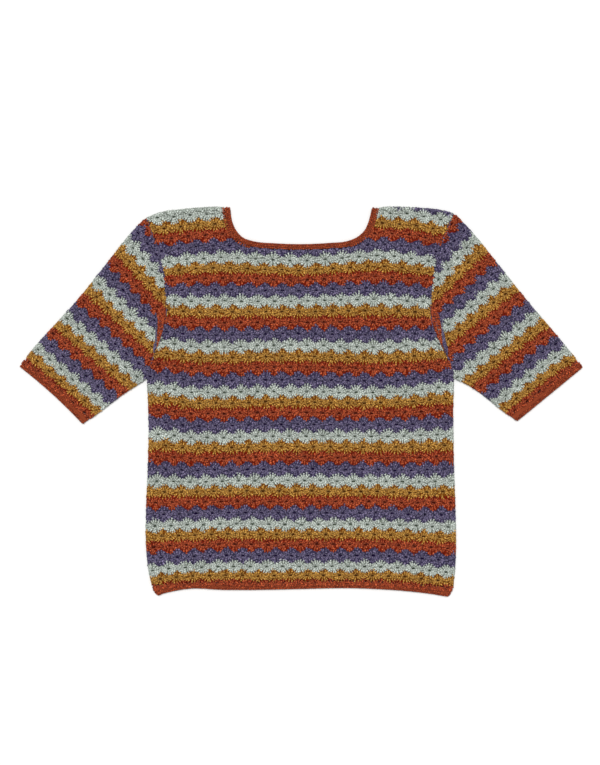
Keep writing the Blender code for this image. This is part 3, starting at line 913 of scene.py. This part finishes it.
# The two folds of each sleeve, from the body out to the cuff, and which side is outside
SLEEVE_EDGES = {
    "right": (
        (((-238.0, 272.0), (-253.9, 254.4), (-337.0, 150.2), (-409.1, 70.1), (-412.0, 66.0)), 1),
        (((-236.0, 30.0), (-267.0, 10.2), (-303.0, -17.0), (-318.0, -28.0)), -1),
    ),
    "left": (
        (((235.0, 279.0), (250.0, 263.1), (333.0, 158.7), (407.3, 70.6), (413.0, 63.0)), -1),
        (((235.0, 32.0), (262.7, 16.6), (298.7, -11.7), (313.0, -23.0)), 1),
    ),
}


def tube_outside(points, normals):
    """Which points of a flattened tube lie on its outer face."""
    away = (points[:, 2] - MIDDLE) * normals[:, 2]
    return (away > 0.05) | (np.abs(normals[:, 2]) < 0.5)


# The sleeves are sewn in with plum yarn, whose short slanting stitches lie sunk in the
# groove between the sleeve and the front
ARMHOLES = {
    "right": (
        (-230.8, 34.0), (-221.6, 67.0), (-211.9, 90.0), (-204.0, 119.0), (-201.6, 148.0),
        (-203.8, 171.0), (-206.4, 196.0), (-210.4, 217.0), (-221.4, 246.0), (-233.0, 279.0),
    ),
    "left": (
        (229.4, 34.0), (220.0, 67.0), (207.0, 90.0), (196.5, 119.0), (194.8, 148.0),
        (197.3, 171.0), (200.0, 196.0), (203.0, 217.0), (214.5, 246.0), (229.0, 283.0),
    ),
}
# Down the lower half of each seam the sleeve's rust and plum rows run out in a wedge: the
# height of a place on the seam, the width of the rust there and the width of both
WEDGES = {
    "right": (
        (72, 0, 0), (75, 0, 3.5), (80, 0.5, 5.5), (88, 3.5, 6.5), (96, 6, 8.5), (105, 8.5, 11),
        (117, 10.5, 12.5), (130, 14, 14), (140, 9, 9),
    ),
    "left": (
        (70, 0, 0), (73, 0, 4), (80, 0.5, 7), (88, 4, 9.5), (96, 7, 11), (105, 10.5, 12.5),
        (116, 12, 13), (127, 12, 12), (134, 9, 9),
    ),
}
STITCH_FRACTIONS = (0.0, 0.3, 0.7, 1.0)  # where a short stitch has its radii
SEAM_PITCH = 1.5
SEAM_REACH = 1.5  # half of a stitch, along the seam and across it
SEAM_STYLE = {"radii": (0.5, 0.75, 0.75, 0.5), "lift": -0.35}
WEDGE_PITCH = 1.2
WEDGE_POST = 6.5  # longest post of the wedge
WEDGE_FOOT = 0.2  # from the start of a post to the one before it, or to the seam
WEDGE_STYLE = {"radii": (0.75, 0.95, 0.95, 0.75), "lift": 1.0}
SEWING_STRAY = {"bow": 0.08, "lift": 0.08, "radius": 0.06, "tone": 0.08, "lean": 0.5, "end": 0.3}
SEWING_TONE = 0.97


def stitches(name, starts, ends, style, slot):
    """Single stitches over the armhole, as one piece."""
    size = (len(starts), 1)
    even = np.ones(len(STITCH_FRACTIONS))
    laid = lay(whole_top, {
        "start": np.array(starts),
        "end": np.array(ends),
        "bow": rng.normal(0, SEWING_STRAY["bow"], size[0]),
        "lifts": style["lift"] + rng.normal(0, SEWING_STRAY["lift"], size) * even,
        "radii": np.array(style["radii"]) * rng.normal(1, SEWING_STRAY["radius"], size),
        "shade": even * rng.normal(SEWING_TONE, SEWING_STRAY["tone"], size),
    }, STITCH_FRACTIONS, False)
    return strand_object(name, laid, yarns[slot])


def sewn_in(side):
    """The sewing of a sleeve's armhole and the wedge of rows beside it."""
    places, way = smooth(ARMHOLES[side], SEAM_PITCH)
    half = (way + way[:, ::-1] * (-1, 1)) * SEAM_REACH
    made = [stitches("armhole_sewing_" + side, places - half, places + half, SEAM_STYLE, "plum")]
    places, way = smooth(ARMHOLES[side], WEDGE_PITCH)
    outward = way[:, ::-1] * ((-1, 1) if side == "right" else (1, -1))
    heights, rust, both = np.array(WEDGES[side]).T
    for slot, inner, outer in (("rust", 0 * rust, rust), ("plum", rust, both)):
        starts, ends = [], []
        for place, ahead, out in zip(places, way, outward):
            near, far = (np.interp(place[1], heights, edge, left=0, right=0) for edge in (inner, outer))
            posts = math.ceil((far - near) / WEDGE_POST)
            stops = near + (far - near) * np.arange(posts + 1) / max(posts, 1)
            for low, high in zip(stops[:-1], stops[1:]):
                lean = rng.normal(0, SEWING_STRAY["lean"], 2)
                foot, head = rng.normal((low + WEDGE_FOOT, high), SEWING_STRAY["end"])
                starts.append(place + out * foot + ahead * lean[0])
                ends.append(place + out * head + ahead * lean[1])
        made.append(stitches("armhole_wedge_" + slot + "_" + side, starts, ends, WEDGE_STYLE, slot))
    return made


for side in ("right", "left"):
    node = "sleeve_" + side
    layout = sleeve_cloth[side]
    sleeve_ground = ground(node, striped_ground_painted_shade, layout, 3, tube_outside)
    upper = wheel_pieces(
        node + "_",
        (tree_of(node, "cuff_" + side), tree_of(node, "front")),
        layout,
        ((FRONT_STYLE, SLEEVE_ROWS, *SLEEVE_ENDS), (CUFF_STYLE, [14], *SLEEVE_ENDS)),
    )
    under = wheel_pieces(
        node + "_under_", (tree_of(node), None), layout, ((BACK_STYLE, SLEEVE_ROWS, *SLEEVE_ENDS),)
    )
    folds = round_edges(node + "_", (node,), layout, SLEEVE_EDGES[side])
    upper + under + folds + sewn_in(side)


# Plain bands in rust. The hem, the cuffs and the neck are edged with rows of tight single
# crochet: short slanting stitches side by side, which make low ridges along each edge.
BAND_PITCH = 2.9
BAND_RADII = (0.8, 1.25, 1.25, 0.8)
BAND_SINK = (-0.35, 0, 0, -0.35)  # how far a stitch's ends lie below its middle
BAND_SLANT = (0.7, 1.5)  # half of a stitch, along the edge and across it
ROW_SHIFT = 1.4  # of every other row along the edge
PRESSED = 0.6  # thickness of the underside's stitches to the upper ones'
BAND_LIFT, UNDER_LIFT, OVERLAP_LIFT = -0.25, -0.72, 0.9
BAND_STRAY = {"place": 0.15, "slant": 0.06, "bow": 0.05, "radius": 0.05, "tone": 0.05}
FLECKS_PER_METRE = 500.0  # of 2 mm, the width of a stitch

# Tight single crochet in rust cotton, with painted shade between its stitches: the ground is darker
# than the yarn
rust_ground_painted_shade, tree = new_material("cotton_crochet_rust_ground")
place = add(tree, "TexCoord", {}, {}).outputs["Object"]
fleck = add(tree, "TexNoise", {}, {"Vector": place, "Scale": FLECKS_PER_METRE, "Detail": 3.0})
tone = add(tree, "Mix", {"data_type": "RGBA"}, {0: fleck, 6: linear("#722E1A"), 7: linear("#8C4226")})
bump = add(tree, "Bump", {}, {"Strength": 0.6, "Distance": 0.5 * MM, "Height": fleck})
finish_material(tree, {
    "Base Color": tone.outputs[2], "Roughness": 0.95, "Specular IOR Level": 0.1, "Normal": bump,
})
band_yarn = yarn_material("rust_tight", "#C65A30", "#84301A")


def band_rows(tree, edge, turn, offsets, below, lift):
    """Rows of single crochet along an edge, offset from it on the side that `turn` says:
    1 for the left of the edge's direction and -1 for its right."""
    parts = []
    places, way = smooth(edge, BAND_PITCH)
    inward = np.column_stack([-way[:, 1], way[:, 0]]) * turn
    size = (len(places), 1)
    for number, offset in enumerate(offsets):
        odd = number % 2
        along = rng.normal(0, BAND_STRAY["place"], size) + odd * ROW_SHIFT
        centre = places + inward * offset + way * along
        slant = way * BAND_SLANT[0] * (1 if odd else -1) + inward * BAND_SLANT[1]
        slant = slant * rng.normal(1, BAND_STRAY["slant"], size)
        bow = rng.normal(0, BAND_STRAY["bow"], size[0])
        width = rng.normal(1, BAND_STRAY["radius"], size)
        parts.append({
            "start": centre - slant,
            "end": centre + slant,
            "bow": bow,
            "lifts": np.tile(lift + np.array(BAND_SINK), size),
            "radii": np.array(BAND_RADII) * width * (PRESSED if below else 1),
            "shade": np.ones(len(BAND_RADII)) * rng.normal(1, BAND_STRAY["tone"], size),
        })
    return lay(tree, joined(parts), STITCH_FRACTIONS, below)


def band(node, edge, turn, offsets, overlaps=()):
    """A band: its ground cloth and the stitches on its upper and lower layers. Each overlap
    is an edge with the offset of one more row, which is worked into the front."""
    made = ground(node, rust_ground_painted_shade, None, 1, tube_outside)
    tree = tree_of(node)
    laid = joined([
        band_rows(tree, edge, turn, offsets, False, BAND_LIFT),
        band_rows(tree, edge, turn, offsets, True, UNDER_LIFT),
        *(
            band_rows(tree_of(node, "front"), part, turn, [offset], False, OVERLAP_LIFT)
            for part, offset in overlaps
        ),
    ])
    worked = strand_object(node + "_stitches", laid, band_yarn)


HEM_EDGE = (
    (-220.6, -285.4), (-213.8, -290.8), (-205.0, -287.2), (-194.3, -284.8), (-168.0, -280.4),
    (-120.0, -282.1), (-40.0, -281.8), (30.0, -280.1), (60.0, -279.5), (110.0, -280.8),
    (150.0, -283.4), (190.0, -287.6), (208.0, -290.3), (220.2, -292.3), (224.6, -288.6),
)
band("hem_band", HEM_EDGE, 1, (1.3, 3.9))
CUFF_EDGES = {
    "right": ((-422.3, 52.7), (-372.7, 11.1), (-326.7, -34.5)),
    "left": ((422.7, 51.5), (372.8, 10.6), (323.1, -30.2)),
}
for side, turn in (("right", 1), ("left", -1)):
    band("cuff_" + side, CUFF_EDGES[side], turn, (1.3, 3.9))
NECK_EDGE = (
    (-106.6, 294.5), (-102.4, 267.6), (-96.8, 256.0), (-87.4, 245.9), (-72.1, 240.5), (-38.0, 237.1),
    (0.0, 235.9), (42.0, 237.7), (70.2, 240.7), (85.5, 247.3), (96.2, 258.0), (100.8, 268.6),
    (107.0, 294.1),
)
band(
    "neck_edging", NECK_EDGE, -1, (1.3, 4.4, 7.4),
    overlaps=((NECK_EDGE[:5], 10.4), (NECK_EDGE[8:], 9.3)),
)
